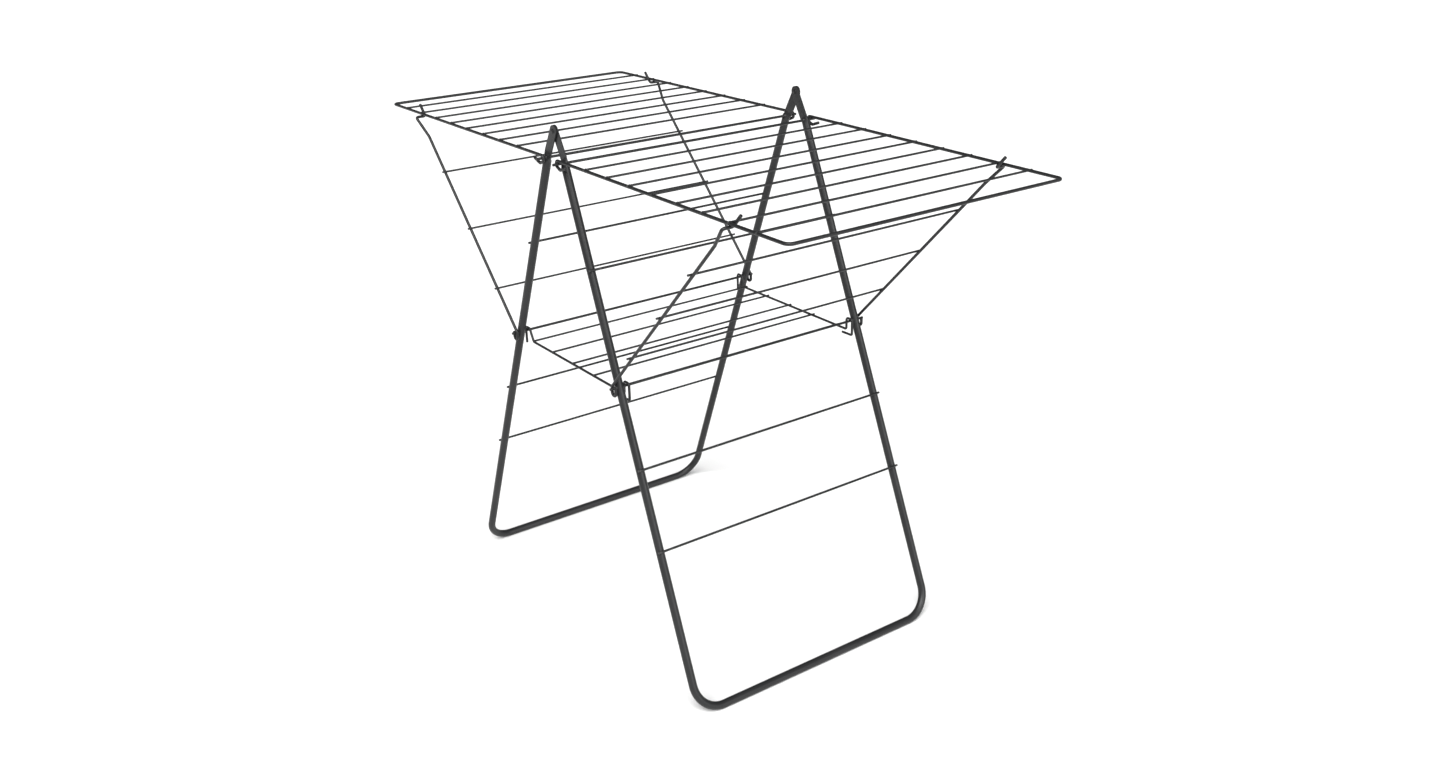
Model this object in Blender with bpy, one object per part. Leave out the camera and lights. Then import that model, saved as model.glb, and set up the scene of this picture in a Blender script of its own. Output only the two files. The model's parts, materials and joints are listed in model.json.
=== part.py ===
"""Folding winged clothes airer: two bent tube leg frames, two fold-down wings,
two wing braces and a lift-off shelf, all in powder-coated steel.

Metres, +Z up. X runs along the drying rungs, the far side is +Y and the near
side is -Y. The origin is on the floor, midway between the two foot bars.
"""
import math

import bmesh
import bpy
from mathutils import Vector

# Leg frames: one tube each, bent to a U, with its two ends pressed flat.
TUBE_D = 0.016
TUBE_SIDES = 16
HALF_WIDTH_TOP = 0.280
LEG_SPLAY = 0.0095
PIN_HEIGHT = 1.0265
HINGE_BAR_DROP = 0.0535
HINGE_BAR_Y = 0.0303
FOOT_Y = 0.4225
FOOT_BEND_R = 0.055
FLAT_WIDTH = 0.022
FLAT_THICK = 0.003
FLAT_GAP = 0.0006
FLAT_TO_BAR = 0.010
ROUND_FROM_BAR = 0.009

# Straight bars that cross the leg frames, by their distance down the leg.
HINGE_BAR_D = 0.005
LOWER_BAR_DOWN = 0.4162
LEG_RUNG_D = 0.0045
LEG_RUNGS_DOWN = (0.1990, 0.5731, 0.7283)
LEG_RUNG_PAST_TUBE = 0.0005
BAR_PAST_BRACE = 0.0057
BORE_CLEARANCE = 0.0001

# Apex rivets.
RIVET_D = 0.005
RIVET_HEAD_D = 0.009
RIVET_HEAD_H = 0.0024

# Wings: clearances are taken from the leg tube and from the hinge bar.
WING_WIRE_D = 0.006
WING_TO_TUBE = 0.002
WING_REACH = 0.691
WING_DROP = 0.0030
WING_CORNER_R = 0.012
WING_RUNG_D = 0.004
WING_RUNG_COUNT = 8
WING_RUNG_FIRST = 0.1245
WING_RUNG_TO_OUTER = 0.0716
WING_RUNG_PAST_RAIL = 0.0005
HOOK_SLACK = 0.0004
HOOK_DIP = 0.0042
HOOK_TOE = 0.0007
HOOK_KNEE = 0.0013
HOOK_TAIL_LENGTH = 0.020
HOOK_TAIL_TO_RAIL = 0.0028

# Wing braces: an eye hangs on the lower hinge bar and a tip rises inside the rail.
BRACE_WIRE_D = 0.006
BRACE_TO_TUBE = 0.0011
BRACE_SEAT_BEFORE_RUNG = 0.0007
BRACE_SEAT_RUNG = 7
BRACE_CORNER_PAST_RAIL = 0.013
BRACE_TIP_TO_RAIL = 0.002
BRACE_SPLAY_LENGTH = 0.050
BRACE_TIP_LENGTH = 0.030
BRACE_EYE_SLACK = 0.0007
BRACE_EYE_HANG = 0.0140
BRACE_EYE_RISE = 0.0020
BRACE_RUNG_D = 0.004
BRACE_RUNG_REACHES = (0.1005, 0.2447, 0.3847)
BRACE_RUNG_PAST_WIRE = 0.005

# Shelf: loops on the near lower bar, latch hooks over the far one.
SHELF_WIRE_D = 0.005
SHELF_TO_TUBE = 0.0047
SHELF_DROP = 0.0195
SHELF_RUNG_D = 0.004
SHELF_RUNG_FROM_NEAR_BAR = 0.036
SHELF_RUNG_FROM_FAR_BAR = 0.026
SHELF_RUNG_COUNT = 5
SHELF_HOOK_SLACK = 0.0035
SHELF_TAIL_TO_RAIL = 0.0037
SHELF_TAIL_LENGTH = 0.0300
SHELF_TAIL_SLOPE = 0.0008
SHELF_RAMP_RUN = 0.0140
SHELF_LATCH_TUCK = 0.0015
SHELF_LATCH_LEG = 0.0290

# Room left between pieces that touch or are welded together.
GAP = 0.0003
WIRE_SIDES = 12
WIRE_END_CHAMFER = 0.22

# Sizes that follow from the ones above.
TUBE_R = TUBE_D / 2.0
HALF_WIDTH_FOOT = HALF_WIDTH_TOP + LEG_SPLAY
HINGE_BAR_Z = PIN_HEIGHT - HINGE_BAR_DROP
FOOT_Z = TUBE_R * math.cos(math.pi / TUBE_SIDES)
FLAT_END_R = FLAT_WIDTH / 2.0
LEG_LENGTH = math.hypot(FOOT_Y - HINGE_BAR_Y, HINGE_BAR_Z - FOOT_Z)
LOWER_TUBE_X = HALF_WIDTH_TOP + LEG_SPLAY * LOWER_BAR_DOWN / LEG_LENGTH
WING_OVER_BAR = HINGE_BAR_D / 2.0 + WING_WIRE_D / 2.0 + GAP
WING_RAIL_X = HALF_WIDTH_TOP + TUBE_R + WING_TO_TUBE + WING_WIRE_D / 2.0
WING_RUNG_HALF = WING_RAIL_X + WING_WIRE_D / 2.0 + WING_RUNG_PAST_RAIL
WING_RUNG_PITCH = (WING_REACH - WING_RUNG_TO_OUTER - WING_RUNG_FIRST) / (WING_RUNG_COUNT - 1)
BRACE_OVER_BAR = HINGE_BAR_D / 2.0 + BRACE_WIRE_D / 2.0 + BRACE_EYE_SLACK
BRACE_X = LOWER_TUBE_X + TUBE_R + BRACE_TO_TUBE + BRACE_WIRE_D / 2.0
BRACE_SEAT_Y = WING_RUNG_FIRST + WING_RUNG_PITCH * (BRACE_SEAT_RUNG - 1) - BRACE_SEAT_BEFORE_RUNG
BRACE_CORNER_X = WING_RAIL_X + BRACE_CORNER_PAST_RAIL
BRACE_TIP_X = WING_RAIL_X - WING_WIRE_D / 2.0 - BRACE_TIP_TO_RAIL - BRACE_WIRE_D / 2.0
BRACE_RUNG_HALF = BRACE_X + BRACE_WIRE_D / 2.0 + BRACE_RUNG_PAST_WIRE
BAR_STUB_X = BRACE_X + BRACE_WIRE_D / 2.0 + BAR_PAST_BRACE
SHELF_OVER_BAR = HINGE_BAR_D / 2.0 + SHELF_WIRE_D / 2.0 + GAP
SHELF_RAIL_X = LOWER_TUBE_X - TUBE_R - SHELF_TO_TUBE - SHELF_WIRE_D / 2.0
SHELF_HOOK_HALF = HINGE_BAR_D / 2.0 + SHELF_WIRE_D / 2.0 + SHELF_HOOK_SLACK
SHELF_LOOP_DEPTH = SHELF_DROP + SHELF_WIRE_D + SHELF_TAIL_TO_RAIL
UP_X = Vector((1.0, 0.0, 0.0))


def clear_scene():
    """Remove whatever the empty file starts with."""
    for old in list(bpy.data.objects):
        bpy.data.objects.remove(old, do_unlink=True)


def make_material(name, color, roughness, metallic):
    """Return a plain Principled material."""
    material = bpy.data.materials.new(name)
    material.use_nodes = True
    shader = material.node_tree.nodes["Principled BSDF"]
    shader.inputs["Base Color"].default_value = (color[0], color[1], color[2], 1.0)
    shader.inputs["Roughness"].default_value = roughness
    shader.inputs["Metallic"].default_value = metallic
    material.diffuse_color = (color[0], color[1], color[2], 1.0)
    return material


class Body:
    """One rigid group of pieces, held by an empty on its joint axis."""

    def __init__(self, name, origin, parent=None):
        self.origin = Vector(origin)
        self.empty = bpy.data.objects.new(name, None)
        self.empty.empty_display_size = 0.03
        bpy.context.collection.objects.link(self.empty)
        if parent is None:
            self.empty.location = self.origin
        else:
            self.empty.parent = parent.empty
            self.empty.location = self.origin - parent.origin

    def add(self, name, bm, material):
        """Link a mesh drawn in world metres as a piece of this body."""
        bmesh.ops.translate(bm, verts=bm.verts, vec=-self.origin)
        bmesh.ops.recalc_face_normals(bm, faces=bm.faces)
        mesh = bpy.data.meshes.new(name)
        bm.to_mesh(mesh)
        bm.free()
        mesh.materials.append(material)
        mesh.shade_smooth()
        mesh.set_sharp_from_angle(angle=math.radians(40.0))
        piece = bpy.data.objects.new(name, mesh)
        bpy.context.collection.objects.link(piece)
        piece.parent = self.empty
        return piece


def blend(a, b, t):
    """Straight-line mix of two points."""
    return a + (b - a) * t


def round_corners(points, radii, step_deg=15.0):
    """Replace each inner corner of a path by an arc of the given radius."""
    points = [Vector(p) for p in points]
    path = [points[0]]
    for index in range(1, len(points) - 1):
        corner = points[index]
        back = points[index - 1] - corner
        ahead = points[index + 1] - corner
        radius = radii[index - 1]
        turn = math.pi - back.angle(ahead)
        if turn < 0.01 or radius <= 0.0:
            path.append(corner)
            continue
        trim = radius * math.tan(turn / 2.0)
        trim = min(trim, 0.49 * back.length, 0.49 * ahead.length)
        radius = trim / math.tan(turn / 2.0)
        back.normalize()
        ahead.normalize()
        centre = corner + (back + ahead).normalized() * (radius / math.cos(turn / 2.0))
        start = corner + back * trim - centre
        end = corner + ahead * trim - centre
        steps = max(2, round(math.degrees(turn) / step_deg))
        for step in range(steps + 1):
            part = step / steps
            weight_a = math.sin((1.0 - part) * turn) / math.sin(turn)
            weight_b = math.sin(part * turn) / math.sin(turn)
            path.append(centre + start * weight_a + end * weight_b)
    path.append(points[-1])
    return path


def tangents(path):
    """Unit direction of travel at each point of a path."""
    result = []
    last = len(path) - 1
    for index in range(len(path)):
        before = path[index] - path[max(index - 1, 0)]
        after = path[min(index + 1, last)] - path[index]
        direction = Vector((0.0, 0.0, 0.0))
        if before.length > 0.0:
            direction += before.normalized()
        if after.length > 0.0:
            direction += after.normalized()
        result.append(direction.normalized())
    return result


def loft(rings):
    """Skin a list of point rings into one closed body."""
    bm = bmesh.new()
    rows = [[bm.verts.new(p) for p in ring] for ring in rings]
    count = len(rings[0])
    for low, high in zip(rows[:-1], rows[1:]):
        for k in range(count):
            nxt = (k + 1) % count
            bm.faces.new((low[k], low[nxt], high[nxt], high[k]))
    bm.faces.new(list(reversed(rows[0])))
    bm.faces.new(rows[-1])
    return bm


def wire(path, diameter, sides=WIRE_SIDES):
    """Round wire along a path, with lightly broken end edges."""
    radius = diameter / 2.0
    bite = radius * WIRE_END_CHAMFER
    path = [Vector(p) for p in path]
    first = (path[1] - path[0]).normalized()
    last = (path[-1] - path[-2]).normalized()
    stations = [path[0], path[0] + first * bite]
    stations += path[1:-1]
    stations += [path[-1] - last * bite, path[-1]]
    directions = tangents(stations)
    widths = [radius] * len(stations)
    widths[0] = radius - bite
    widths[-1] = radius - bite
    side = directions[0].orthogonal().normalized()
    rings = []
    for index, centre in enumerate(stations):
        direction = directions[index]
        side = (side - direction * side.dot(direction)).normalized()
        other = direction.cross(side)
        stretch = 1.0
        if 0 < index < len(stations) - 1:
            before = (stations[index] - stations[index - 1]).normalized()
            stretch = 1.0 / max(0.5, before.dot(direction))
        bend = Vector((0.0, 0.0, 0.0))
        if stretch > 1.0001:
            bend = (before - direction * before.dot(direction)).normalized()
        ring = []
        for k in range(sides):
            angle = 2.0 * math.pi * (k + 0.5) / sides
            offset = (side * math.cos(angle) + other * math.sin(angle)) * widths[index]
            offset += bend * offset.dot(bend) * (stretch - 1.0)
            ring.append(centre + offset)
        rings.append(ring)
    return loft(rings)


def straight_bar(half_length, y, z, diameter):
    """Straight round bar along X, centred on the object."""
    return wire([(-half_length, y, z), (half_length, y, z)], diameter)


class Side:
    """Key points of one half of the airer; sign is +1 for far, -1 for near."""

    def __init__(self, sign):
        self.sign = sign
        self.pin = Vector((0.0, 0.0, PIN_HEIGHT))
        self.hinge = Vector((0.0, sign * HINGE_BAR_Y, HINGE_BAR_Z))
        self.foot = Vector((0.0, sign * FOOT_Y, FOOT_Z))
        self.down = (self.foot - self.hinge).normalized()
        self.outward = Vector((0.0, -sign * self.down.z, sign * self.down.y))
        self.neck = (self.hinge - self.pin).normalized()
        self.neck_outward = Vector((0.0, -sign * self.neck.z, sign * self.neck.y))
        self.lower_bar = self.on_leg(LOWER_BAR_DOWN)

    def on_leg(self, distance):
        """Point on the leg tube's centre line, at X = 0, so far down the leg."""
        return self.hinge + self.down * distance

    def leg_x(self, distance):
        """Half width between the tube centre lines so far down the leg."""
        return HALF_WIDTH_TOP + LEG_SPLAY * distance / LEG_LENGTH


def tube_section(centre, thick_dir, wide_dir, width, thick, flatness, twist):
    """One ring of the leg tube, anywhere between round and pressed flat."""
    ring = []
    for k in range(TUBE_SIDES):
        angle = 2.0 * math.pi * (k + 0.5) / TUBE_SIDES + twist
        c = math.cos(angle)
        s = math.sin(angle)
        flat_c = max(-1.0, min(1.0, 1.08 * c)) * width / 2.0
        flat_s = max(-1.0, min(1.0, 2.0 * s)) * thick / 2.0
        wide = TUBE_R * c + (flat_c - TUBE_R * c) * flatness
        thin = TUBE_R * s + (flat_s - TUBE_R * s) * flatness
        ring.append(centre + wide_dir * wide + thick_dir * thin)
    return ring


def leg_stations(side):
    """Stations down one leg: centre, wide direction, width and flatness."""
    sideways = (FLAT_THICK + FLAT_GAP) / 2.0 * side.sign
    flat_x = HALF_WIDTH_TOP + sideways
    neck_length = (side.hinge - side.pin).length
    stations = []
    for angle_deg in (90.0, 72.0, 54.0, 36.0, 18.0, 0.0):
        angle = math.radians(angle_deg)
        reach = FLAT_END_R * math.sin(angle)
        width = FLAT_WIDTH * max(math.cos(angle), 0.16)
        centre = side.pin - side.neck * reach + UP_X * flat_x
        stations.append((centre, side.neck_outward, width, 1.0, 0.0))
    flat_end = side.pin + side.neck * (neck_length - FLAT_TO_BAR)
    stations.append((flat_end + UP_X * flat_x, side.neck_outward, FLAT_WIDTH, 1.0, 0.0))
    round_start = side.hinge + side.down * ROUND_FROM_BAR
    for part in (0.2, 0.4, 0.6, 0.8, 1.0):
        ease = part * part * (3.0 - 2.0 * part)
        if part < 0.5:
            spot = blend(flat_end, side.hinge, part * 2.0)
        else:
            spot = blend(side.hinge, round_start, part * 2.0 - 1.0)
        lean = side.neck_outward + (side.outward - side.neck_outward) * ease
        x = flat_x + (HALF_WIDTH_TOP - flat_x) * ease
        stations.append((spot + UP_X * x, lean.normalized(), FLAT_WIDTH, 1.0 - ease, ease))
    top = side.hinge + side.down * ROUND_FROM_BAR + UP_X * HALF_WIDTH_TOP
    corner = side.foot + UP_X * HALF_WIDTH_FOOT
    for fraction in (0.2, 0.4, 0.6, 0.8):
        stations.append((blend(top, corner, fraction), side.outward, FLAT_WIDTH, 0.0, 1.0))
    bend = round_corners([top, corner, side.foot], [FOOT_BEND_R], 9.0)
    for spot in bend[1:-1]:
        stations.append((spot, side.outward, FLAT_WIDTH, 0.0, 1.0))
    return stations


def leg_frame(side):
    """The U-shaped tube: pressed end, leg, foot bar, leg, pressed end."""
    half = leg_stations(side)
    mirrored = []
    for centre, wide, width, flatness, settled in reversed(half):
        flipped = Vector((-centre.x, centre.y, centre.z))
        mirrored.append((flipped, wide, width, flatness, settled))
    stations = half + mirrored
    directions = tangents([station[0] for station in stations])
    middle = len(half) - 1
    thick_dir = directions[middle].cross(side.outward)
    down_angle = math.atan2(-thick_dir.z, -side.outward.z)
    step = 2.0 * math.pi / TUBE_SIDES
    foot_twist = down_angle - step * round(down_angle / step)
    rings = []
    for index, (centre, wide, width, flatness, settled) in enumerate(stations):
        direction = directions[index]
        wide_dir = (wide - direction * wide.dot(direction)).normalized()
        across = direction.cross(wide_dir)
        twist = foot_twist * settled
        rings.append(tube_section(centre, across, wide_dir, width, FLAT_THICK, flatness, twist))
    return loft(rings)


def drill(body, piece, name, holes):
    """Cut straight holes along X through a piece; holes are (y, z, radius, turn).

    turn is in steps between corners, so a hole's corners match its bar's or pin's.
    """
    bm = bmesh.new()
    for y, z, radius, turn in holes:
        rings = []
        for x in (-HALF_WIDTH_FOOT - TUBE_D, HALF_WIDTH_FOOT + TUBE_D):
            ring = []
            for k in range(WIRE_SIDES):
                angle = 2.0 * math.pi * (k + turn) / WIRE_SIDES
                ring.append(Vector((x, y + radius * math.cos(angle), z + radius * math.sin(angle))))
            rings.append(ring)
        low = [bm.verts.new(p) for p in rings[0]]
        high = [bm.verts.new(p) for p in rings[1]]
        for k in range(WIRE_SIDES):
            nxt = (k + 1) % WIRE_SIDES
            bm.faces.new((low[k], low[nxt], high[nxt], high[k]))
        bm.faces.new(list(reversed(low)))
        bm.faces.new(high)
    bmesh.ops.translate(bm, verts=bm.verts, vec=-body.origin)
    bmesh.ops.recalc_face_normals(bm, faces=bm.faces)
    mesh = bpy.data.meshes.new(name)
    bm.to_mesh(mesh)
    bm.free()
    cutter = bpy.data.objects.new(name, mesh)
    bpy.context.collection.objects.link(cutter)
    cutter.parent = body.empty
    cutter.hide_render = True
    cutter.display_type = "WIRE"
    cut = piece.modifiers.new("bar_holes", "BOOLEAN")
    cut.operation = "DIFFERENCE"
    cut.solver = "EXACT"
    cut.object = cutter


def rivet(x, sign):
    """Domed rivet through the two pressed tube ends; sign points outward."""
    shank = RIVET_D / 2.0
    head = RIVET_HEAD_D / 2.0
    seat = FLAT_THICK + FLAT_GAP / 2.0 + GAP
    profile = []
    for part in (1.0, 0.85, 0.6, 0.3):
        rise = RIVET_HEAD_H * math.sqrt(1.0 - part * part * 0.96)
        profile.append((seat + rise, head * part))
    outline = [(along, radius) for along, radius in reversed(profile)]
    outline += [(seat, head), (seat, shank), (-seat, shank), (-seat, head)]
    outline += [(-along, radius) for along, radius in profile]
    rings = []
    for along, radius in outline:
        ring = []
        for k in range(WIRE_SIDES):
            angle = 2.0 * math.pi * (k + 0.5) / WIRE_SIDES
            y = radius * math.cos(angle)
            z = PIN_HEIGHT + radius * math.sin(angle)
            ring.append(Vector((x + sign * along, y, z)))
        rings.append(ring)
    return loft(rings)


def wing_rail_height(reach):
    """Height of the wing rail's centre line at a distance from the middle."""
    return HINGE_BAR_Z + WING_OVER_BAR - WING_DROP * (reach - HINGE_BAR_Y) / (WING_REACH - HINGE_BAR_Y)


def wing_frame(side):
    """Wing wire: hook, rail, outer bar, rail and hook in one bend."""
    bar = WING_OVER_BAR
    toe = bar + HOOK_TOE
    outline = [
        (toe + HOOK_TAIL_LENGTH, bar - WING_WIRE_D - HOOK_TAIL_TO_RAIL),
        (toe, -bar - HOOK_DIP),
        (-bar - HOOK_SLACK, HOOK_KNEE - bar),
        (-bar - HOOK_SLACK, bar),
    ]
    radii = [0.0035, 0.0045, bar]
    half = []
    for outboard, up in outline:
        y = side.sign * (HINGE_BAR_Y + outboard)
        half.append(Vector((WING_RAIL_X, y, HINGE_BAR_Z + up)))
    corner = Vector((WING_RAIL_X, side.sign * WING_REACH, wing_rail_height(WING_REACH)))
    other = Vector((-corner.x, corner.y, corner.z))
    points = half + [corner, other] + [Vector((-p.x, p.y, p.z)) for p in reversed(half)]
    all_radii = radii + [WING_CORNER_R, WING_CORNER_R] + list(reversed(radii))
    return wire(round_corners(points, all_radii, 22.5), WING_WIRE_D)


class BraceLine:
    """Directions of one brace, measured from its pivot bar."""

    def __init__(self, side):
        self.pivot = side.lower_bar
        seat_z = wing_rail_height(BRACE_SEAT_Y) - WING_WIRE_D / 2.0 - BRACE_WIRE_D / 2.0 - GAP
        seat = Vector((0.0, side.sign * BRACE_SEAT_Y, seat_z))
        self.along = (seat - self.pivot).normalized()
        self.reach = (seat - self.pivot).length
        self.inboard = Vector((0.0, -side.sign * self.along.z, side.sign * self.along.y))

    def spot(self, x, reach, lift):
        """Point at a distance up the brace and off its line."""
        return self.pivot + self.along * reach + self.inboard * lift + UP_X * x


def brace_side(side, line, hand):
    """Brace side wire: hanging eye on the lower bar, straight run, seat and tip."""
    over = BRACE_OVER_BAR
    start = Vector((0.0, -side.sign * over, 0.0))
    eye = []
    for outboard, up in ((over, BRACE_EYE_RISE), (over, -BRACE_EYE_HANG), (-over, -BRACE_EYE_HANG)):
        spot = line.pivot + Vector((hand * BRACE_X, side.sign * outboard, up))
        eye.append(spot)
    lean = abs(line.inboard.y)
    rise = over * (1.0 - lean) / abs(line.along.y) * line.along.z
    shoulder = line.pivot + start + UP_X * (hand * BRACE_X)
    shoulder.z += over * line.inboard.z - rise
    corners = eye + [
        shoulder,
        line.spot(hand * BRACE_X, line.reach - BRACE_SPLAY_LENGTH, 0.0),
        line.spot(hand * BRACE_CORNER_X, line.reach, 0.0),
        line.spot(hand * BRACE_TIP_X, line.reach, 0.0),
        line.spot(hand * BRACE_TIP_X, line.reach + BRACE_TIP_LENGTH, 0.0),
    ]
    radii = [over, over, over, 0.020, 0.0045, 0.0045]
    return wire(round_corners(corners, radii, 22.5), BRACE_WIRE_D)


def shelf_rail(hand, near_bar, far_bar):
    """Shelf rail: captive loop on the near bar, latch hook over the far bar."""
    over = SHELF_OVER_BAR
    hook = SHELF_HOOK_HALF
    span = far_bar.y - near_bar.y
    latch = span + hook - SHELF_LATCH_TUCK
    outline = [
        (-hook + SHELF_TAIL_LENGTH, -SHELF_LOOP_DEPTH - SHELF_TAIL_SLOPE),
        (-hook, -SHELF_LOOP_DEPTH),
        (-hook, over),
        (hook, over),
        (hook, -SHELF_DROP),
        (span - hook - SHELF_RAMP_RUN, -SHELF_DROP),
        (span - hook, over),
        (latch, over),
        (latch, -SHELF_LATCH_LEG),
    ]
    path = [Vector((hand * SHELF_RAIL_X, near_bar.y + y, near_bar.z + z)) for y, z in outline]
    radii = [0.0035, 0.0055, 0.0055, 0.0045, 0.006, 0.004, 0.0045]
    return wire(round_corners(path, radii, 22.5), SHELF_WIRE_D)


def build_leg_body(body, side, label, coats):
    """Leg frame with its two hinge bars and three welded rungs."""
    frame = body.add(label + "_leg_frame", leg_frame(side), coats["tube"])
    bar_hole = HINGE_BAR_D / 2.0 + BORE_CLEARANCE
    pin_hole = RIVET_D / 2.0 + BORE_CLEARANCE
    holes = [
        (side.pin.y, side.pin.z, pin_hole, 0.5),
        (side.hinge.y, side.hinge.z, bar_hole, 0.0),
        (side.lower_bar.y, side.lower_bar.z, bar_hole, 0.0),
    ]
    drill(body, frame, label + "_hole_cutter", holes)
    bars = (("_upper_hinge_bar", side.hinge), ("_lower_hinge_bar", side.lower_bar))
    for name, spot in bars:
        bar = straight_bar(BAR_STUB_X, spot.y, spot.z, HINGE_BAR_D)
        body.add(label + name, bar, coats["bar"])
    for index, distance in enumerate(LEG_RUNGS_DOWN, 1):
        spot = side.on_leg(distance) + side.outward * (TUBE_R + LEG_RUNG_D / 2.0 + GAP)
        half = side.leg_x(distance) + TUBE_R + LEG_RUNG_PAST_TUBE
        rung = straight_bar(half, spot.y, spot.z, LEG_RUNG_D)
        body.add(f"{label}_leg_rung_{index}", rung, coats["bar"])


def build_wing(body, side, label, coats):
    """Wing frame with its drying rungs laid across the top."""
    body.add(label + "_wing_frame", wing_frame(side), coats["wing"])
    lift = WING_WIRE_D / 2.0 + WING_RUNG_D / 2.0 + GAP
    for index in range(WING_RUNG_COUNT):
        reach = WING_RUNG_FIRST + index * WING_RUNG_PITCH
        z = wing_rail_height(reach) + lift
        rung = straight_bar(WING_RUNG_HALF, side.sign * reach, z, WING_RUNG_D)
        body.add(f"{label}_wing_rung_{index + 1}", rung, coats["wing"])


def build_brace(body, side, label, coats):
    """Brace with its two side wires and three cross rungs."""
    line = BraceLine(side)
    for hand, name in ((-1.0, "_brace_left"), (1.0, "_brace_right")):
        body.add(label + name, brace_side(side, line, hand), coats["brace"])
    lift = BRACE_WIRE_D / 2.0 + BRACE_RUNG_D / 2.0 + GAP
    straight = line.reach - BRACE_SPLAY_LENGTH
    for index, reach in enumerate(BRACE_RUNG_REACHES, 1):
        wire_lift = BRACE_OVER_BAR * (1.0 - reach / straight)
        spot = line.spot(0.0, reach, wire_lift + lift)
        rung = straight_bar(BRACE_RUNG_HALF, spot.y, spot.z, BRACE_RUNG_D)
        body.add(f"{label}_brace_rung_{index}", rung, coats["brace"])


def build_shelf(body, near, far, coats):
    """Shelf rails with their rungs laid across the top."""
    for hand, name in ((-1.0, "shelf_rail_left"), (1.0, "shelf_rail_right")):
        body.add(name, shelf_rail(hand, near.lower_bar, far.lower_bar), coats["shelf"])
    z = near.lower_bar.z - SHELF_DROP + SHELF_WIRE_D / 2.0 + SHELF_RUNG_D / 2.0 + GAP
    first = near.lower_bar.y + SHELF_RUNG_FROM_NEAR_BAR
    last = far.lower_bar.y - SHELF_RUNG_FROM_FAR_BAR
    for index in range(SHELF_RUNG_COUNT):
        y = first + (last - first) * index / (SHELF_RUNG_COUNT - 1)
        half = SHELF_RAIL_X + SHELF_WIRE_D / 2.0
        rung = straight_bar(half, y, z, SHELF_RUNG_D)
        body.add(f"shelf_rung_{index + 1}", rung, coats["shelf"])


def build():
    """Build the airer standing open."""
    clear_scene()
    charcoal = (0.030, 0.031, 0.034)
    coats = {
        "tube": make_material("tube_powder_coat", charcoal, 0.42, 0.0),
        "bar": make_material("bar_powder_coat", (0.028, 0.029, 0.032), 0.44, 0.0),
        "wing": make_material("wing_powder_coat", (0.030, 0.031, 0.034), 0.43, 0.0),
        "brace": make_material("brace_powder_coat", (0.029, 0.030, 0.033), 0.43, 0.0),
        "shelf": make_material("shelf_powder_coat", (0.031, 0.032, 0.035), 0.43, 0.0),
        "rivet": make_material("rivet_blackened_steel", (0.045, 0.045, 0.048), 0.38, 0.8),
    }
    near = Side(-1.0)
    far = Side(1.0)
    near_frame = Body("near_frame_body", near.pin)
    far_frame = Body("far_frame_body", far.pin, near_frame)
    build_leg_body(near_frame, near, "near", coats)
    build_leg_body(far_frame, far, "far", coats)
    for hand, name in ((-1.0, "apex_rivet_left"), (1.0, "apex_rivet_right")):
        near_frame.add(name, rivet(hand * HALF_WIDTH_TOP, hand), coats["rivet"])
    for frame, side, label in ((near_frame, near, "near"), (far_frame, far, "far")):
        wing = Body(label + "_wing_body", side.hinge, frame)
        build_wing(wing, side, label, coats)
        brace = Body(label + "_brace_body", side.lower_bar, frame)
        build_brace(brace, side, label, coats)
    shelf = Body("shelf_body", near.lower_bar, near_frame)
    build_shelf(shelf, near, far, coats)


build()
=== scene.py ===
"""Finished look of the folding clothes airer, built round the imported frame.

Every tube, bar and wire of the frame is redrawn here with finely rounded
bends, chamfered cut ends and weld beads, and is powder coated. Metres, +Z up:
X runs along the drying rungs, near is -Y and far is +Y.
"""
import json
import math

import bmesh
import bpy
from mathutils import Matrix, Vector


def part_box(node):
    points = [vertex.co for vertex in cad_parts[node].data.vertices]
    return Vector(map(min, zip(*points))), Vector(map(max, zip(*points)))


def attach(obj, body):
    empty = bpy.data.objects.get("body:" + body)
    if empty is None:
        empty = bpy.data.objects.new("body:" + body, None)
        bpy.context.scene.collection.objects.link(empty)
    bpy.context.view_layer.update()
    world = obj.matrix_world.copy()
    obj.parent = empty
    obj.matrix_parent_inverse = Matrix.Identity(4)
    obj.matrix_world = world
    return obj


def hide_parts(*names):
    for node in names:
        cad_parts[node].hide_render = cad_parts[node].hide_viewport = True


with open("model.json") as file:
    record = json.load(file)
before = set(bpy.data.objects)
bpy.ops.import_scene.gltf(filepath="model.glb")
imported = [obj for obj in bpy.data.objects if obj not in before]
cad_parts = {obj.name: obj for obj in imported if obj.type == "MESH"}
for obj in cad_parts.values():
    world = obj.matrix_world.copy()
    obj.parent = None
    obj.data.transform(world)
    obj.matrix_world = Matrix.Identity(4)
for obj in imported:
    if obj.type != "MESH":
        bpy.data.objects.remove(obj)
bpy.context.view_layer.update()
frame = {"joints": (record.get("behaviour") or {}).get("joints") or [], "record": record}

# Joints and mounts of the frame that the pieces are built on.
JOINTS = {joint["name"]: joint for joint in frame["joints"]}
MOUNTS = {mount["name"]: mount for mount in frame["record"]["mounts"]}
PIN = Vector(JOINTS["apex_fold"]["pos_m"])
SIDES = {"near": -1.0, "far": 1.0}
HANDS = {"left": -1.0, "right": 1.0}

# Leg tube: round below the upper hinge bar, pressed flat above it.
TUBE_R = 0.008
TUBE_SIDES = 40
FLAT_WIDTH = 0.022
FLAT_THICK = 0.003
FLAT_END_R = 0.011
FLAT_GAP = 0.0006
FLAT_TO_BAR = 0.010
ROUND_FROM_BAR = 0.009
HALF_WIDTH_TOP = 0.280
HALF_WIDTH_FOOT = 0.2895
FOOT_BEND_R = 0.055
FOOT_LIFT = TUBE_R * math.cos(math.pi / 16.0)
LEG_RUNG_COUNT = 3

# Rivets.
RIVET_SHANK_R = 0.0025
RIVET_HEAD_R = 0.0045
RIVET_HEAD_H = 0.0022

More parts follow.
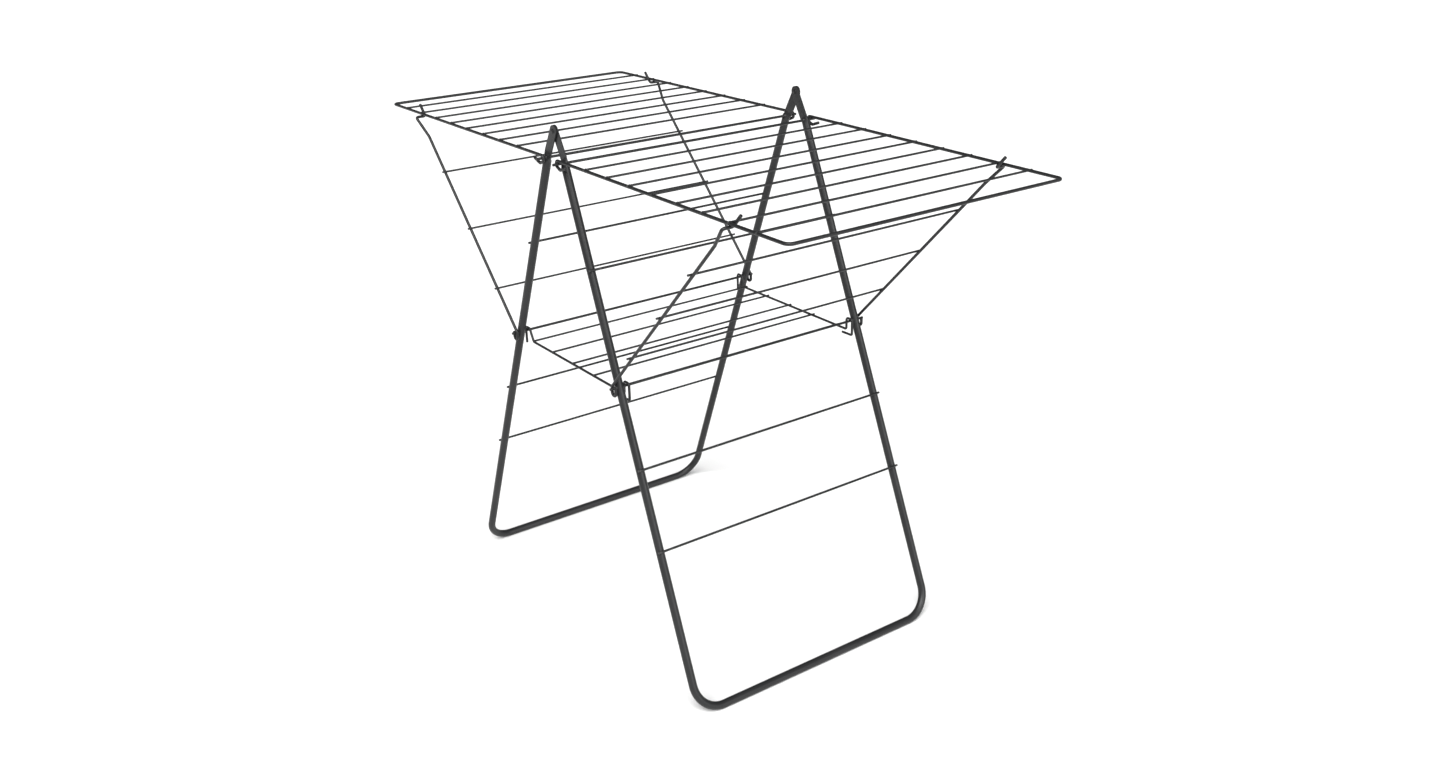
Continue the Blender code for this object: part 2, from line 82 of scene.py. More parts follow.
# Wires and bars.
WIRE_SIDES = 20
BAR_R = 0.0025
RUNG_R = 0.002
FRAME_WIRE_R = 0.003
SHELF_WIRE_R = 0.0025
GAP = 0.0003
WING_WELD_SINK = 0.0037
CROSS_WELD_SINK = 0.0018
BEND_STEP_DEG = 6.0
CAD_BAR_SIDES = 12

# Weld beads: half sizes along the bars, along the wire and off it.
LEG_BEAD = (0.0046, 0.0031, 0.0015)
WING_BEAD = (0.0019, 0.0031, 0.0024)
BRACE_BEAD = (0.0034, 0.0030, 0.0013)
SHELF_BEAD = (0.0030, 0.0028, 0.0012)

# Wing hook, from the hinge bar: outboard, up.
HOOK_TAIL = (0.0265, -0.0030)
HOOK_BOTTOM = (0.0065, -0.0100)
HOOK_BACK = -0.0045
HOOK_SLACK = 0.0004
WING_DROP = 0.0030
WING_CORNER_R = 0.012
WING_HOOK_BENDS = (0.0035, 0.0045)
WING_RUNG_COUNT = 8

# Brace side wires: the eye hangs round the lower bar, the tip rises inside the rail.
BRACE_TO_TUBE = 0.0011
BRACE_SEAT_BEFORE_RUNG = 0.0007
BRACE_SEAT_RUNG = 7
BRACE_CORNER_PAST_RAIL = 0.013
BRACE_TIP_TO_RAIL = 0.002
BRACE_SPLAY_LENGTH = 0.050
BRACE_TIP_LENGTH = 0.030
BRACE_OVER_BAR = 0.0062
BRACE_EYE_HANG = 0.0140
BRACE_EYE_RISE = 0.0020
BRACE_RUNG_COUNT = 3
BRACE_SPLAY_BEND = 0.020
BRACE_TIP_BEND = 0.0045

# Shelf loops and latch hooks, from the hinge bars.
SHELF_DROP = 0.0195
SHELF_HOOK_HALF = 0.0085
SHELF_LOOP_DEPTH = 0.0282
SHELF_TAIL_LENGTH = 0.0300
SHELF_TAIL_SLOPE = 0.0008
SHELF_LATCH_TUCK = 0.0015
SHELF_RAMP_RUN = 0.0140
SHELF_LATCH_LEG = 0.0290
SHELF_RUNG_COUNT = 5
SHELF_BENDS = (0.0035, 0.0055, 0.0055, 0.0045, 0.006, 0.004, 0.0045)

# Camera and lights.
CAMERA_PLACE = (-1.4718, -2.1671, 1.5497)
CAMERA_HEADING = math.radians(35.629)
CAMERA_TILT = math.radians(-22.467)
CAMERA_ROLL = math.radians(-1.276)
CAMERA_LENS = 34.107
CAMERA_SENSOR = 36.0
KEY_POWER = 4.4
KEY_SPREAD_DEG = 44.0
KEY_DIRECTION = (0.72, 0.62, -1.10)
FRONT_POWER = 2.0
FRONT_SPREAD_DEG = 40.0
FRONT_DIRECTION = (-0.10, 0.80, -0.35)
SURROUND = 0.12
COAT_SHEEN = 0.28

ALONG_BARS = Vector((1.0, 0.0, 0.0))


# ---------------------------------------------------------------- materials


class Field:
    """A socket that can be used in sums; each operator adds a Math node."""

    def __init__(self, coat, socket):
        self.coat = coat
        self.socket = socket

    def _with(self, operation, *values):
        return self.coat.node("ShaderNodeMath", {"operation": operation}, list(values))

    def __add__(self, other):
        return self._with("ADD", self, other)

    __radd__ = __add__

    def __mul__(self, other):
        return self._with("MULTIPLY", self, other)

    __rmul__ = __mul__

    def __sub__(self, other):
        return self._with("SUBTRACT", self, other)

    def __rsub__(self, other):
        return self._with("SUBTRACT", other, self)

    def __pow__(self, other):
        return self._with("POWER", self, other)

    def __abs__(self):
        return self._with("ABSOLUTE", self)

    def at_least(self, other):
        return self._with("MAXIMUM", self, other)

    def band(self, low, high):
        """0 at low, 1 at high, smooth between."""
        settings = {"interpolation_type": "SMOOTHSTEP", "clamp": True}
        return self.coat.node("ShaderNodeMapRange", settings, [self, low, high, 0.0, 1.0])


class Coat:
    """One material and its node tree."""

    def __init__(self, name):
        self.material = bpy.data.materials.new(name)
        self.material.use_nodes = True
        self.tree = self.material.node_tree
        self.shader = self.tree.nodes["Principled BSDF"]

    def node(self, kind, settings, values, output=0):
        """Add a node: its settings first, then its sockets by place or name."""
        made = self.tree.nodes.new(kind)
        for key, value in settings.items():
            setattr(made, key, value)
        pairs = values.items() if isinstance(values, dict) else enumerate(values)
        for key, value in pairs:
            self.feed(made.inputs[key], value)
        return Field(self, made.outputs[output])

    def feed(self, socket, value):
        """Link a field to a socket, or set the socket's own value."""
        if isinstance(value, Field):
            self.tree.links.new(value.socket, socket)
        else:
            socket.default_value = value

    def set(self, name, value):
        """Give the shader one of its inputs."""
        self.feed(self.shader.inputs[name], value)

    def place(self):
        """Position on the piece, in metres."""
        return self.node("ShaderNodeTexCoord", {}, [], "Object")

    def parts(self, vector):
        """The three numbers of a vector."""
        first = self.node("ShaderNodeSeparateXYZ", {}, [vector])
        outputs = first.socket.node.outputs
        return [Field(self, outputs[axis]) for axis in "XYZ"]

    def noise(self, vector, scale, detail=3.0, rough=0.55):
        """Smooth random field from 0 to 1, scale in features per metre."""
        values = {"Vector": vector, "Scale": scale, "Detail": detail, "Roughness": rough}
        return self.node("ShaderNodeTexNoise", {"noise_dimensions": "3D"}, values)

    def mix(self, factor, first, second):
        """Blend of two colours."""
        settings = {"data_type": "RGBA", "blend_type": "MIX"}
        made = self.node("ShaderNodeMix", settings, {0: factor, 6: first, 7: second}, 2)
        return made

    def bump(self, height, strength, distance):
        """Surface relief for the shader's normal."""
        values = {"Height": height, "Strength": strength, "Distance": distance}
        self.set("Normal", self.node("ShaderNodeBump", {}, values))


def rgba(red, green, blue):
    """Colour with full alpha."""
    return (red, green, blue, 1.0)


def powder_coat(name, tone, gloss, rubs=(), cut_end=None):
    """Satin charcoal powder coat: orange peel, fine grain, rubs and thin cut ends.

    rubs are distances from the middle, along the bars, where a hook or eye
    has polished the coat; cut_end is where the bar was sheared to length.
    """
    coat = Coat(name)
    place = coat.place()
    peel = coat.noise(place, 420.0, 2.0)
    grain = coat.noise(place, 2600.0, 2.0, 0.7)
    drift = coat.noise(place, 9.0, 3.0)
    handled = coat.noise(place, 46.0, 4.0, 0.62)
    deep = rgba(tone * 0.86, tone * 0.88, tone * 0.93)
    pale = rgba(tone * 1.26, tone * 1.28, tone * 1.33)
    color = coat.mix(drift.band(0.30, 0.72), deep, pale)
    specks = grain.band(0.66, 0.80) * 0.35
    color = coat.mix(specks, color, rgba(tone * 2.1, tone * 2.1, tone * 2.2))
    rough = gloss + (handled - 0.5) * 0.10 + (grain - 0.5) * 0.08
    if rubs or cut_end:
        across = abs(coat.parts(place)[0])
        worn = handled * 0.0
        for distance in rubs:
            near_rub = 1.0 - abs(across - distance).band(0.0022, 0.0058)
            worn = worn.at_least(near_rub)
        if cut_end:
            worn = worn.at_least(across.band(cut_end - 0.0012, cut_end) * 0.55)
        worn = worn * handled.band(0.34, 0.62)
        color = coat.mix(worn * 0.5, color, rgba(0.060, 0.059, 0.058))
        rough = rough - worn * 0.12
    coat.set("Base Color", color)
    coat.set("Roughness", rough)
    coat.set("Specular IOR Level", COAT_SHEEN)
    coat.bump(peel * 0.7 + grain * 0.3, 0.16, 0.0004)
    return coat.material


def blackened_steel(name):
    """Zinc-black rivet head: darker, more metallic, faint turning marks."""
    coat = Coat(name)
    place = coat.place()
    _, y, z = coat.parts(place)
    radius = ((y - PIN.y) ** 2.0 + (z - PIN.z) ** 2.0) ** 0.5
    rings = coat.node("ShaderNodeMath", {"operation": "SINE"}, [radius * 16000.0])
    scuff = coat.noise(place, 900.0, 4.0, 0.6)
    rubbed = scuff.band(0.56, 0.70) * radius.band(0.0012, 0.0032)
    color = coat.mix(rubbed * 0.5, rgba(0.012, 0.012, 0.013), rgba(0.07, 0.068, 0.065))
    coat.set("Base Color", color)
    coat.set("Metallic", 0.55 + rubbed * 0.3)
    coat.set("Roughness", 0.40 - rubbed * 0.08)
    coat.bump(rings * 0.2 + scuff, 0.12, 0.0002)
    return coat.material


def studio_paper(name):
    """Plain pale floor with a trace of unevenness."""
    coat = Coat(name)
    cloud = coat.noise(coat.place(), 1.3, 2.0)
    color = coat.mix(cloud, rgba(0.875, 0.875, 0.872), rgba(0.895, 0.895, 0.892))
    coat.set("Base Color", color)
    coat.set("Roughness", 0.85)
    coat.set("Specular IOR Level", 0.15)
    return coat.material


# ------------------------------------------------------------ mesh building


def round_corners(points, radii, step_deg=BEND_STEP_DEG):
    """Replace each inner corner of a path by an arc of the given radius."""
    points = [Vector(point) for point in points]
    path = [points[0]]
    for index in range(1, len(points) - 1):
        corner = points[index]
        back = points[index - 1] - corner
        ahead = points[index + 1] - corner
        turn = math.pi - back.angle(ahead)
        if turn < 0.01:
            path.append(corner)
            continue
        trim = radii[index - 1] * math.tan(turn / 2.0)
        trim = min(trim, 0.49 * back.length, 0.49 * ahead.length)
        radius = trim / math.tan(turn / 2.0)
        back.normalize()
        ahead.normalize()
        centre = corner + (back + ahead).normalized() * (radius / math.cos(turn / 2.0))
        start = corner + back * trim - centre
        end = corner + ahead * trim - centre
        steps = max(3, round(math.degrees(turn) / step_deg))
        for step in range(steps + 1):
            part = step / steps
            from_start = math.sin((1.0 - part) * turn) / math.sin(turn)
            from_end = math.sin(part * turn) / math.sin(turn)
            path.append(centre + start * from_start + end * from_end)
    path.append(points[-1])
    return path


def headings(path):
    """Unit direction of travel at each point of a path."""
    result = []
    last = len(path) - 1
    for index in range(len(path)):
        before = path[index] - path[max(index - 1, 0)]
        after = path[min(index + 1, last)] - path[index]
        result.append((before.normalized() + after.normalized()).normalized())
    return result


def add_loft(bm, rings):
    """Skin a list of point rings as one closed surface."""
    rows = [[bm.verts.new(point) for point in ring] for ring in rings]
    count = len(rings[0])
    for low, high in zip(rows[:-1], rows[1:]):
        for k in range(count):
            after = (k + 1) % count
            bm.faces.new((low[k], low[after], high[after], high[k]))
    bm.faces.new(list(reversed(rows[0])))
    bm.faces.new(rows[-1])


def cut_end_profile(radius):
    """Distance in from a sheared end and radius there, rounding the edge."""
    return ((0.0, 0.62 * radius), (0.04 * radius, 0.80 * radius), (0.16 * radius, 0.94 * radius),
            (0.40 * radius, radius))


def add_wire(bm, path, radius, sides=WIRE_SIDES):
    """Round wire along a path, with softly rounded sheared ends."""
    path = [Vector(point) for point in path]
    first = (path[1] - path[0]).normalized()
    last = (path[-1] - path[-2]).normalized()
    ends = cut_end_profile(radius)
    stations = [(path[0] + first * inset, size) for inset, size in ends]
    stations += [(point, radius) for point in path[1:-1]]
    stations += [(path[-1] - last * inset, size) for inset, size in reversed(ends)]
    directions = headings([centre for centre, _ in stations])
    side = directions[0].orthogonal().normalized()
    rings = []
    for (centre, size), direction in zip(stations, directions):
        side = (side - direction * side.dot(direction)).normalized()
        other = direction.cross(side)
        ring = []
        for k in range(sides):
            angle = 2.0 * math.pi * k / sides
            ring.append(centre + (side * math.cos(angle) + other * math.sin(angle)) * size)
        rings.append(ring)
    add_loft(bm, rings)


def add_bead(bm, centre, axes, radii, seed):
    """Small weld bead: an uneven flattened lump on three axes."""
    rows = 7
    columns = 14
    rings = []
    for row in range(rows):
        polar = math.pi * (row + 0.5) / rows
        ring = []
        for column in range(columns):
            angle = 2.0 * math.pi * column / columns
            ripple = 1.0 + 0.07 * math.sin(3.0 * angle + seed) * math.sin(polar)
            ripple += 0.05 * math.sin(5.0 * angle - 1.7 * seed + polar)
            spread = math.sin(polar) * ripple
            point = axes[0] * (radii[0] * spread * math.cos(angle))
            point += axes[1] * (radii[1] * spread * math.sin(angle))
            point += axes[2] * (radii[2] * math.cos(polar))
            ring.append(centre + point)
        rings.append(ring)
    add_loft(bm, rings)


def add_collar(bm, centre, outward, bar_radius, seed):
    """Weld ring where a bar comes out of a tube wall."""
    profile = ((-0.0022, 1.75), (-0.0004, 1.62), (0.0004, 1.36), (0.0011, 1.14), (0.0017, 1.01),
               (0.0017, 0.80))
    rings = []
    for along, share in profile:
        ring = []
        for k in range(WIRE_SIDES):
            angle = 2.0 * math.pi * k / WIRE_SIDES
            uneven = 1.0 + 0.05 * math.sin(3.0 * angle + seed) * (share - 0.9)
            reach = bar_radius * share * uneven
            ring.append(centre + Vector((outward * along, reach * math.cos(angle), reach * math.sin(angle))))
        rings.append(ring)
    add_loft(bm, rings)


def finish_piece(name, bm, material, body, nodes=()):
    """Make the object, smooth it, and hand it to its body."""
    bmesh.ops.recalc_face_normals(bm, faces=bm.faces)
    mesh = bpy.data.meshes.new(name)
    bm.to_mesh(mesh)
    bm.free()
    mesh.materials.append(material)
    mesh.shade_smooth()
    mesh.set_sharp_from_angle(angle=math.radians(50.0))
    piece = bpy.data.objects.new(name, mesh)
    bpy.context.collection.objects.link(piece)
    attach(piece, body)
    if nodes:
        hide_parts(*nodes)
    return piece


def straight_bar(node, material, body, sink=Vector((0.0, 0.0, 0.0))):
    """Redraw a straight bar from its own box, sunk a little into its welds."""
    low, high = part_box(node)
    middle = (low + high) / 2.0 + sink
    radius = (high.z - low.z) / 2.0 / math.cos(math.pi / CAD_BAR_SIDES)
    bm = bmesh.new()
    start = Vector((low.x, middle.y, middle.z))
    end = Vector((high.x, middle.y, middle.z))
    add_wire(bm, [start, end], radius)
    finish_piece(node + "_finished", bm, material, body, [node])
    return middle


# ------------------------------------------------------------------- pieces


class Side:
    """Key points of one half of the airer."""

    def __init__(self, label):
        self.label = label
        self.sign = SIDES[label]
        self.hinge = Vector(JOINTS[label + "_wing_fold"]["pos_m"])
        self.lower_bar = Vector(JOINTS[label + "_brace_swing"]["pos_m"])
        foot_y = MOUNTS[label + "_foot"]["pos_m"][1]
        self.foot = Vector((0.0, foot_y, FOOT_LIFT))
        self.down = (self.foot - self.hinge).normalized()
        self.outward = Vector((0.0, -self.sign * self.down.z, self.sign * self.down.y))
        self.neck = (self.hinge - PIN).normalized()
        self.neck_outward = Vector((0.0, -self.sign * self.neck.z, self.sign * self.neck.y))

    def tube_x(self, height):
        """Half width between the leg tubes at a height."""
        share = (self.hinge.z - height) / (self.hinge.z - self.foot.z)
        return HALF_WIDTH_TOP + (HALF_WIDTH_FOOT - HALF_WIDTH_TOP) * max(share, 0.0)


def leg_stations(side):
    """Stations down one leg: centre, wide direction, width, flatness."""
    flat_x = HALF_WIDTH_TOP + (FLAT_THICK + FLAT_GAP) / 2.0 * side.sign
    stations = []
    end_steps = 12
    for step in range(end_steps + 1):
        angle = math.pi / 2.0 * (1.0 - step / end_steps)
        centre = PIN - side.neck * (FLAT_END_R * math.sin(angle)) + ALONG_BARS * flat_x
        width = FLAT_WIDTH * max(math.cos(angle), 0.08)
        stations.append((centre, side.neck_outward, width, 1.0))
    neck_length = (side.hinge - PIN).length
    flat_end = PIN + side.neck * (neck_length - FLAT_TO_BAR)
    stations.append((flat_end + ALONG_BARS * flat_x, side.neck_outward, FLAT_WIDTH, 1.0))
    round_start = side.hinge + side.down * ROUND_FROM_BAR
    press_steps = 14
    for step in range(1, press_steps + 1):
        part = step / press_steps
        ease = part * part * (3.0 - 2.0 * part)
        spot = flat_end.lerp(side.hinge, part).lerp(side.hinge.lerp(round_start, part), part)
        lean = side.neck_outward.lerp(side.outward, ease).normalized()
        x = flat_x + (HALF_WIDTH_TOP - flat_x) * ease
        stations.append((spot + ALONG_BARS * x, lean, FLAT_WIDTH, 1.0 - ease))
    top = round_start + ALONG_BARS * HALF_WIDTH_TOP
    corner = side.foot + ALONG_BARS * HALF_WIDTH_FOOT
    for part in (0.15, 0.30, 0.45, 0.60, 0.75):
        stations.append((top.lerp(corner, part), side.outward, FLAT_WIDTH, 0.0))
    for spot in round_corners([top, corner, side.foot], [FOOT_BEND_R], 4.0)[1:-1]:
        stations.append((spot, side.outward, FLAT_WIDTH, 0.0))
    return stations


def leg_section(centre, wide_dir, thick_dir, width, flatness):
    """Ring of the leg tube, anywhere between round and pressed flat."""
    ring = []
    for k in range(TUBE_SIDES):
        angle = 2.0 * math.pi * k / TUBE_SIDES
        c = math.cos(angle)
        s = math.sin(angle)
        flat_wide = max(-1.0, min(1.0, 1.04 * c)) * width / 2.0
        flat_thin = math.tanh(2.6 * s) / math.tanh(2.6) * FLAT_THICK / 2.0
        crease = 1.0 - 0.16 * math.exp(-((abs(c) - 0.62) / 0.12) ** 2)
        flat_thin *= crease
        wide = TUBE_R * c + (flat_wide - TUBE_R * c) * flatness
        thin = TUBE_R * s + (flat_thin - TUBE_R * s) * flatness
        ring.append(centre + wide_dir * wide + thick_dir * thin)
    return ring


def leg_frame(side, material):
    """The bent tube of one leg frame, end to end."""
    half = leg_stations(side)
    mirrored = [(Vector((-c.x, c.y, c.z)), wide, width, flat) for c, wide, width, flat in reversed(half)]
    stations = half + mirrored
    directions = headings([station[0] for station in stations])
    rings = []
    for (centre, wide, width, flatness), direction in zip(stations, directions):
        wide_dir = (wide - direction * wide.dot(direction)).normalized()
        rings.append(leg_section(centre, wide_dir, direction.cross(wide_dir), width, flatness))
    bm = bmesh.new()
    add_loft(bm, rings)
    node = side.label + "_leg_frame"
    finish_piece(node + "_finished", bm, material, side.label + "_frame", [node])


def leg_bars(side, material, weld_material):
    """Hinge bars, cross rungs and their welds on one leg frame."""
    body = side.label + "_frame"
    welds = bmesh.new()
    for name, bar in (("_upper_hinge_bar", side.hinge), ("_lower_hinge_bar", side.lower_bar)):
        straight_bar(side.label + name, material, body)
        for hand in HANDS.values():
            tube_x = side.tube_x(bar.z)
            for outward in (-1.0, 1.0):
                reach = TUBE_R if name == "_lower_hinge_bar" else TUBE_R * 0.72
                face = hand * tube_x + outward * reach
                add_collar(welds, Vector((face, bar.y, bar.z)), outward, BAR_R, face * 90.0)
    for index in range(1, LEG_RUNG_COUNT + 1):
        node = f"{side.label}_leg_rung_{index}"
        low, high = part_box(node)
        sink = side.outward * -CROSS_WELD_SINK
        middle = straight_bar(node, material, body, sink)
        radius = (high.z - low.z) / 2.0
        for hand in HANDS.values():
            contact = middle - side.outward * radius + ALONG_BARS * (hand * side.tube_x(middle.z))
            axes = (ALONG_BARS, side.down, side.outward)
            add_bead(welds, contact, axes, LEG_BEAD, index + hand)
    finish_piece(side.label + "_leg_welds", welds, weld_material, body)


def rivets(material):
    """Domed rivets through the pressed ends."""
    seat = FLAT_THICK + FLAT_GAP / 2.0
    dome = []
    for step in range(9):
        angle = math.pi / 2.0 * step / 8.0
        dome.append((seat + RIVET_HEAD_H * math.cos(angle) ** 0.8, RIVET_HEAD_R * math.sin(angle)))
    outline = [(along, max(radius, 0.0003)) for along, radius in dome]
    outline += [(seat, RIVET_HEAD_R * 0.97), (seat, RIVET_SHANK_R), (-seat, RIVET_SHANK_R)]
    outline += [(-along, radius) for along, radius in reversed(outline[:10])]
    for label, hand in HANDS.items():
        rings = []
        for along, radius in outline:
            ring = []
            for k in range(28):
                angle = 2.0 * math.pi * k / 28
                offset = Vector((hand * along, radius * math.cos(angle), radius * math.sin(angle)))
                ring.append(PIN + ALONG_BARS * (hand * HALF_WIDTH_TOP) + offset)
            rings.append(ring)
        bm = bmesh.new()
        add_loft(bm, rings)
        node = "apex_rivet_" + label
        finish_piece(node + "_finished", bm, material, "near_frame", [node])


def wing(side, wire_material, rung_material):
    """Wing wire, its drying rungs and the welds between them."""
    body = side.label + "_wing"
    node = side.label + "_wing_frame"
    low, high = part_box(node)
    rail_x = high.x - FRAME_WIRE_R
    reach = max(abs(low.y), abs(high.y)) - FRAME_WIRE_R
    over = BAR_R + FRAME_WIRE_R + GAP
    back = -over - HOOK_SLACK
    hook = [HOOK_TAIL, HOOK_BOTTOM, (back, HOOK_BACK), (back, over)]
    half = []
    for outboard, up in hook:
        half.append(side.hinge + Vector((rail_x, side.sign * outboard, up)))
    corner = Vector((rail_x, side.sign * reach, side.hinge.z + over - WING_DROP))
    points = half + [corner]
    points += [Vector((-point.x, point.y, point.z)) for point in reversed(points)]
    radii = [*WING_HOOK_BENDS, over, WING_CORNER_R]
    bm = bmesh.new()
    add_wire(bm, round_corners(points, radii + radii[::-1]), FRAME_WIRE_R)
    finish_piece(node + "_finished", bm, wire_material, body, [node])
    welds = bmesh.new()
    axes = (ALONG_BARS, Vector((0.0, 1.0, 0.0)), Vector((0.0, 0.0, 1.0)))
    for index in range(1, WING_RUNG_COUNT + 1):
        rung = f"{side.label}_wing_rung_{index}"
        sink = Vector((0.0, 0.0, -WING_WELD_SINK))
        middle = straight_bar(rung, rung_material, body, sink)
        for hand in HANDS.values():
            contact = middle + Vector((hand * (rail_x - FRAME_WIRE_R * 0.7), 0.0, 0.0002))
            add_bead(welds, contact, axes, WING_BEAD, 1.3 * index + hand)
    finish_piece(side.label + "_wing_welds", welds, wire_material, body)


class BraceLine:
    """Directions of one brace, measured from its pivot bar."""

    def __init__(self, side):
        low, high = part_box(side.label + "_wing_frame")
        rail_x = high.x - FRAME_WIRE_R
        reach = max(abs(low.y), abs(high.y)) - FRAME_WIRE_R
        low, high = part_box(f"{side.label}_wing_rung_{BRACE_SEAT_RUNG}")
        seat_y = abs(low.y + high.y) / 2.0 - BRACE_SEAT_BEFORE_RUNG
        over = BAR_R + FRAME_WIRE_R + GAP
        share = (seat_y - abs(side.hinge.y)) / (reach - abs(side.hinge.y))
        seat_z = side.hinge.z + over - WING_DROP * share - 2.0 * FRAME_WIRE_R - GAP
        seat = Vector((0.0, side.sign * seat_y, seat_z))
        self.pivot = side.lower_bar
        self.along = (seat - self.pivot).normalized()
        self.reach = (seat - self.pivot).length
        self.inboard = Vector((0.0, -side.sign * self.along.z, side.sign * self.along.y))
        self.wire_x = side.tube_x(self.pivot.z) + TUBE_R + BRACE_TO_TUBE + FRAME_WIRE_R
        self.corner_x = rail_x + BRACE_CORNER_PAST_RAIL
        self.tip_x = rail_x - 2.0 * FRAME_WIRE_R - BRACE_TIP_TO_RAIL

    def spot(self, x, reach, lift):
        """Point at a distance up the brace and off its line."""
        return self.pivot + self.along * reach + self.inboard * lift + ALONG_BARS * x

    def eye(self, side, hand):
        """Corners of the hanging eye, from its open end round to the brace line."""
        over = BRACE_OVER_BAR
        lean = abs(self.inboard.y)
        rise = over * (1.0 - lean) / abs(self.along.y) * self.along.z
        outline = (
            (over, BRACE_EYE_RISE),
            (over, -BRACE_EYE_HANG),
            (-over, -BRACE_EYE_HANG),
            (-over, over * self.inboard.z - rise),
        )
        return [self.pivot + Vector((hand * self.wire_x, side.sign * out, up)) for out, up in outline]


def brace(side, wire_material, rung_material):
    """Brace side wires with eye, splay, seat and tip, and its rungs."""
    line = BraceLine(side)
    body = side.label + "_brace"
    radii = [BRACE_OVER_BAR] * 3 + [BRACE_SPLAY_BEND, BRACE_TIP_BEND, BRACE_TIP_BEND]
    for label, hand in HANDS.items():
        corners = line.eye(side, hand) + [
            line.spot(hand * line.wire_x, line.reach - BRACE_SPLAY_LENGTH, 0.0),
            line.spot(hand * line.corner_x, line.reach, 0.0),
            line.spot(hand * line.tip_x, line.reach, 0.0),
            line.spot(hand * line.tip_x, line.reach + BRACE_TIP_LENGTH, 0.0),
        ]
        bm = bmesh.new()
        add_wire(bm, round_corners(corners, radii), FRAME_WIRE_R)
        node = side.label + "_brace_" + label
        finish_piece(node + "_finished", bm, wire_material, body, [node])
    welds = bmesh.new()
    axes = (ALONG_BARS, line.along, line.inboard)
    for index in range(1, BRACE_RUNG_COUNT + 1):
        rung = f"{side.label}_brace_rung_{index}"
        middle = straight_bar(rung, rung_material, body, line.inboard * -CROSS_WELD_SINK)
        for hand in HANDS.values():
            contact = middle + ALONG_BARS * (hand * line.wire_x) - line.inboard * (RUNG_R * 0.75)
            add_bead(welds, contact, axes, BRACE_BEAD, 2.1 * index + hand)
    finish_piece(side.label + "_brace_welds", welds, wire_material, body)


def shelf(near, far, wire_material, rung_material):
    """Shelf rails with their loops and latch hooks, rungs and welds."""
    low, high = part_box("shelf_rail_right")
    rail_x = (low.x + high.x) / 2.0
    over = BAR_R + SHELF_WIRE_R + GAP
    hook = SHELF_HOOK_HALF
    span = far.lower_bar.y - near.lower_bar.y
    latch = span + hook - SHELF_LATCH_TUCK
    outline = [
        (-hook + SHELF_TAIL_LENGTH, -SHELF_LOOP_DEPTH - SHELF_TAIL_SLOPE),
        (-hook, -SHELF_LOOP_DEPTH),
        (-hook, over),
        (hook, over),
        (hook, -SHELF_DROP),
        (span - hook - SHELF_RAMP_RUN, -SHELF_DROP),
        (span - hook, over),
        (latch, over),
        (latch, -SHELF_LATCH_LEG),
    ]
    for label, hand in HANDS.items():
        path = [near.lower_bar + Vector((hand * rail_x, y, z)) for y, z in outline]
        bm = bmesh.new()
        add_wire(bm, round_corners(path, SHELF_BENDS), SHELF_WIRE_R)
        node = "shelf_rail_" + label
        finish_piece(node + "_finished", bm, wire_material, "shelf", [node])
    welds = bmesh.new()
    axes = (ALONG_BARS, Vector((0.0, 1.0, 0.0)), Vector((0.0, 0.0, 1.0)))
    for index in range(1, SHELF_RUNG_COUNT + 1):
        rung = f"shelf_rung_{index}"
        sink = Vector((0.0, 0.0, -CROSS_WELD_SINK))
        middle = straight_bar(rung, rung_material, "shelf", sink)
        for hand in HANDS.values():
            contact = middle + Vector((hand * rail_x, 0.0, -RUNG_R * 0.75))
            add_bead(welds, contact, axes, SHELF_BEAD, 0.9 * index + hand)
    finish_piece("shelf_welds", welds, wire_material, "shelf")


# ------------------------------------------------------------------- studio


def add_camera():
    """Camera at standing height, off the near left corner."""
    data = bpy.data.cameras.new("camera")
    data.lens = CAMERA_LENS
    data.sensor_width = CAMERA_SENSOR
    data.clip_start = 0.05
    camera = bpy.data.objects.new("camera", data)
    turn = Matrix.Rotation(-CAMERA_HEADING, 4, "Z")
    pitch = Matrix.Rotation(math.pi / 2.0 + CAMERA_TILT, 4, "X")
    roll = Matrix.Rotation(CAMERA_ROLL, 4, "Z")
    camera.matrix_world = Matrix.Translation(CAMERA_PLACE) @ turn @ pitch @ roll
    bpy.context.collection.objects.link(camera)
    bpy.context.scene.camera = camera


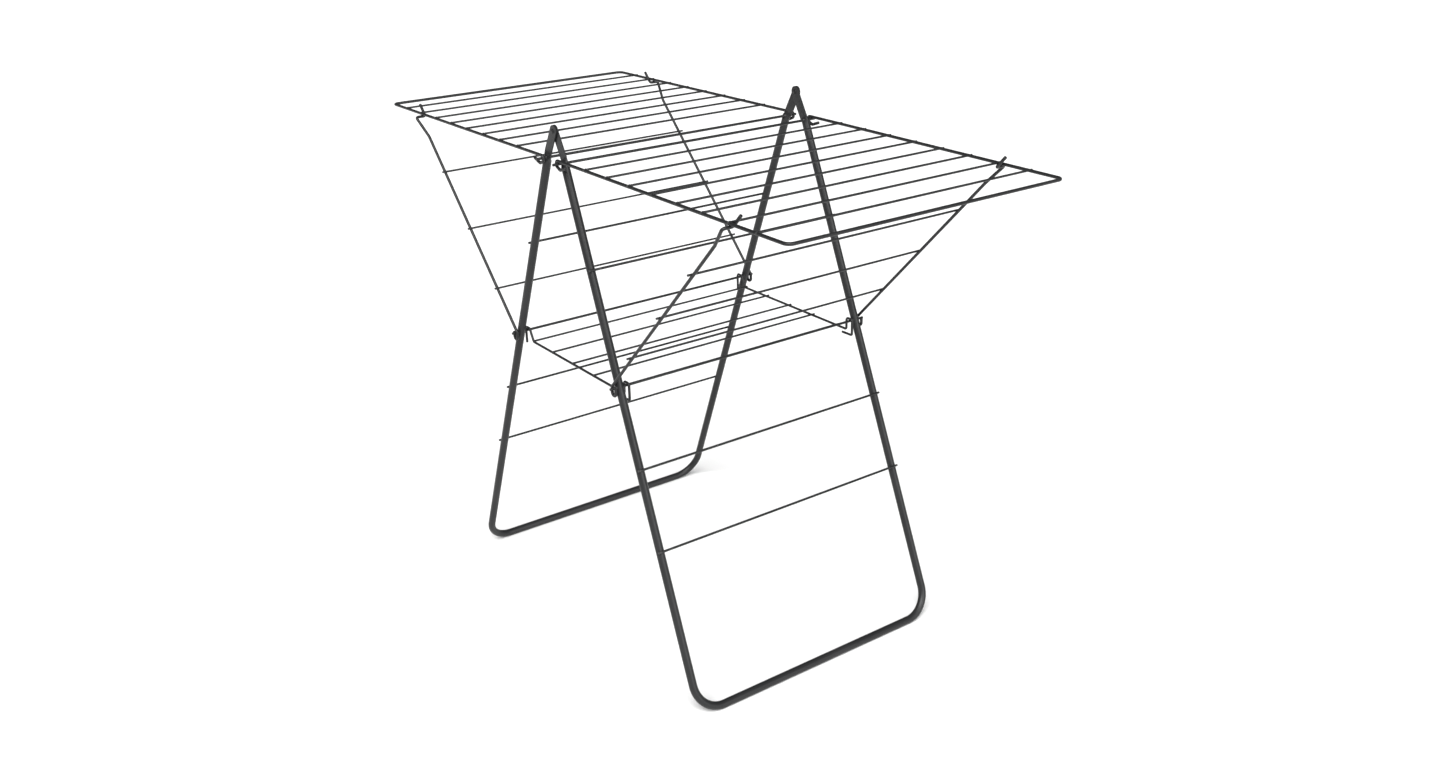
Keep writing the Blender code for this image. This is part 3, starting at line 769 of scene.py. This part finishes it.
def add_surround():
    """Surround that shows white behind the rack and lights it more softly."""
    world = bpy.data.worlds.new("studio_surround")
    world.use_nodes = True
    tree = world.node_tree
    seen = tree.nodes["Background"]
    seen.inputs["Color"].default_value = (1.0, 1.0, 1.0, 1.0)
    seen.inputs["Strength"].default_value = 1.0
    glow = tree.nodes.new("ShaderNodeBackground")
    glow.inputs["Color"].default_value = (1.0, 1.0, 1.0, 1.0)
    glow.inputs["Strength"].default_value = SURROUND
    rays = tree.nodes.new("ShaderNodeLightPath")
    blend = tree.nodes.new("ShaderNodeMixShader")
    tree.links.new(rays.outputs["Is Camera Ray"], blend.inputs["Fac"])
    tree.links.new(glow.outputs["Background"], blend.inputs[1])
    tree.links.new(seen.outputs["Background"], blend.inputs[2])
    tree.links.new(blend.outputs["Shader"], tree.nodes["World Output"].inputs["Surface"])
    bpy.context.scene.world = world


def add_soft_light(name, power, spread_deg, direction):
    """Broad even light from one side, as from a large diffuser."""
    light = bpy.data.lights.new(name, "SUN")
    light.energy = power
    light.angle = math.radians(spread_deg)
    lamp = bpy.data.objects.new(name, light)
    lamp.rotation_euler = Vector(direction).to_track_quat("-Z", "Y").to_euler()
    bpy.context.collection.objects.link(lamp)


def add_studio():
    """Pale floor, two broad soft lights and a white surround."""
    bm = bmesh.new()
    bmesh.ops.create_grid(bm, x_segments=8, y_segments=8, size=40.0)
    mesh = bpy.data.meshes.new("studio_floor")
    bm.to_mesh(mesh)
    bm.free()
    mesh.materials.append(studio_paper("studio_paper"))
    floor = bpy.data.objects.new("studio_floor", mesh)
    bpy.context.collection.objects.link(floor)
    add_surround()
    add_soft_light("key_light", KEY_POWER, KEY_SPREAD_DEG, KEY_DIRECTION)
    add_soft_light("front_light", FRONT_POWER, FRONT_SPREAD_DEG, FRONT_DIRECTION)
    bpy.context.scene.view_settings.view_transform = "Standard"


def main():
    """Dress the whole airer and light it."""
    rail_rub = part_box("near_wing_frame")[1].x - FRAME_WIRE_R
    shelf_rub = sum(corner.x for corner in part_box("shelf_rail_right")) / 2.0
    stub_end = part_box("near_lower_hinge_bar")[1].x
    tube_coat = powder_coat("leg_tube_powder_coat", 0.015, 0.38)
    bar_coat = powder_coat("bar_powder_coat", 0.012, 0.40, (rail_rub, shelf_rub), stub_end)
    wire_coat = powder_coat("wire_powder_coat", 0.014, 0.38)
    rung_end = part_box("near_wing_rung_1")[1].x
    rung_coat = powder_coat("rung_powder_coat", 0.015, 0.40, (), rung_end)
    near = Side("near")
    far = Side("far")
    for side in (near, far):
        leg_frame(side, tube_coat)
        leg_bars(side, bar_coat, bar_coat)
        wing(side, wire_coat, rung_coat)
        brace(side, wire_coat, rung_coat)
    shelf(near, far, wire_coat, rung_coat)
    rivets(blackened_steel("blackened_rivet"))
    add_studio()
    add_camera()


main()
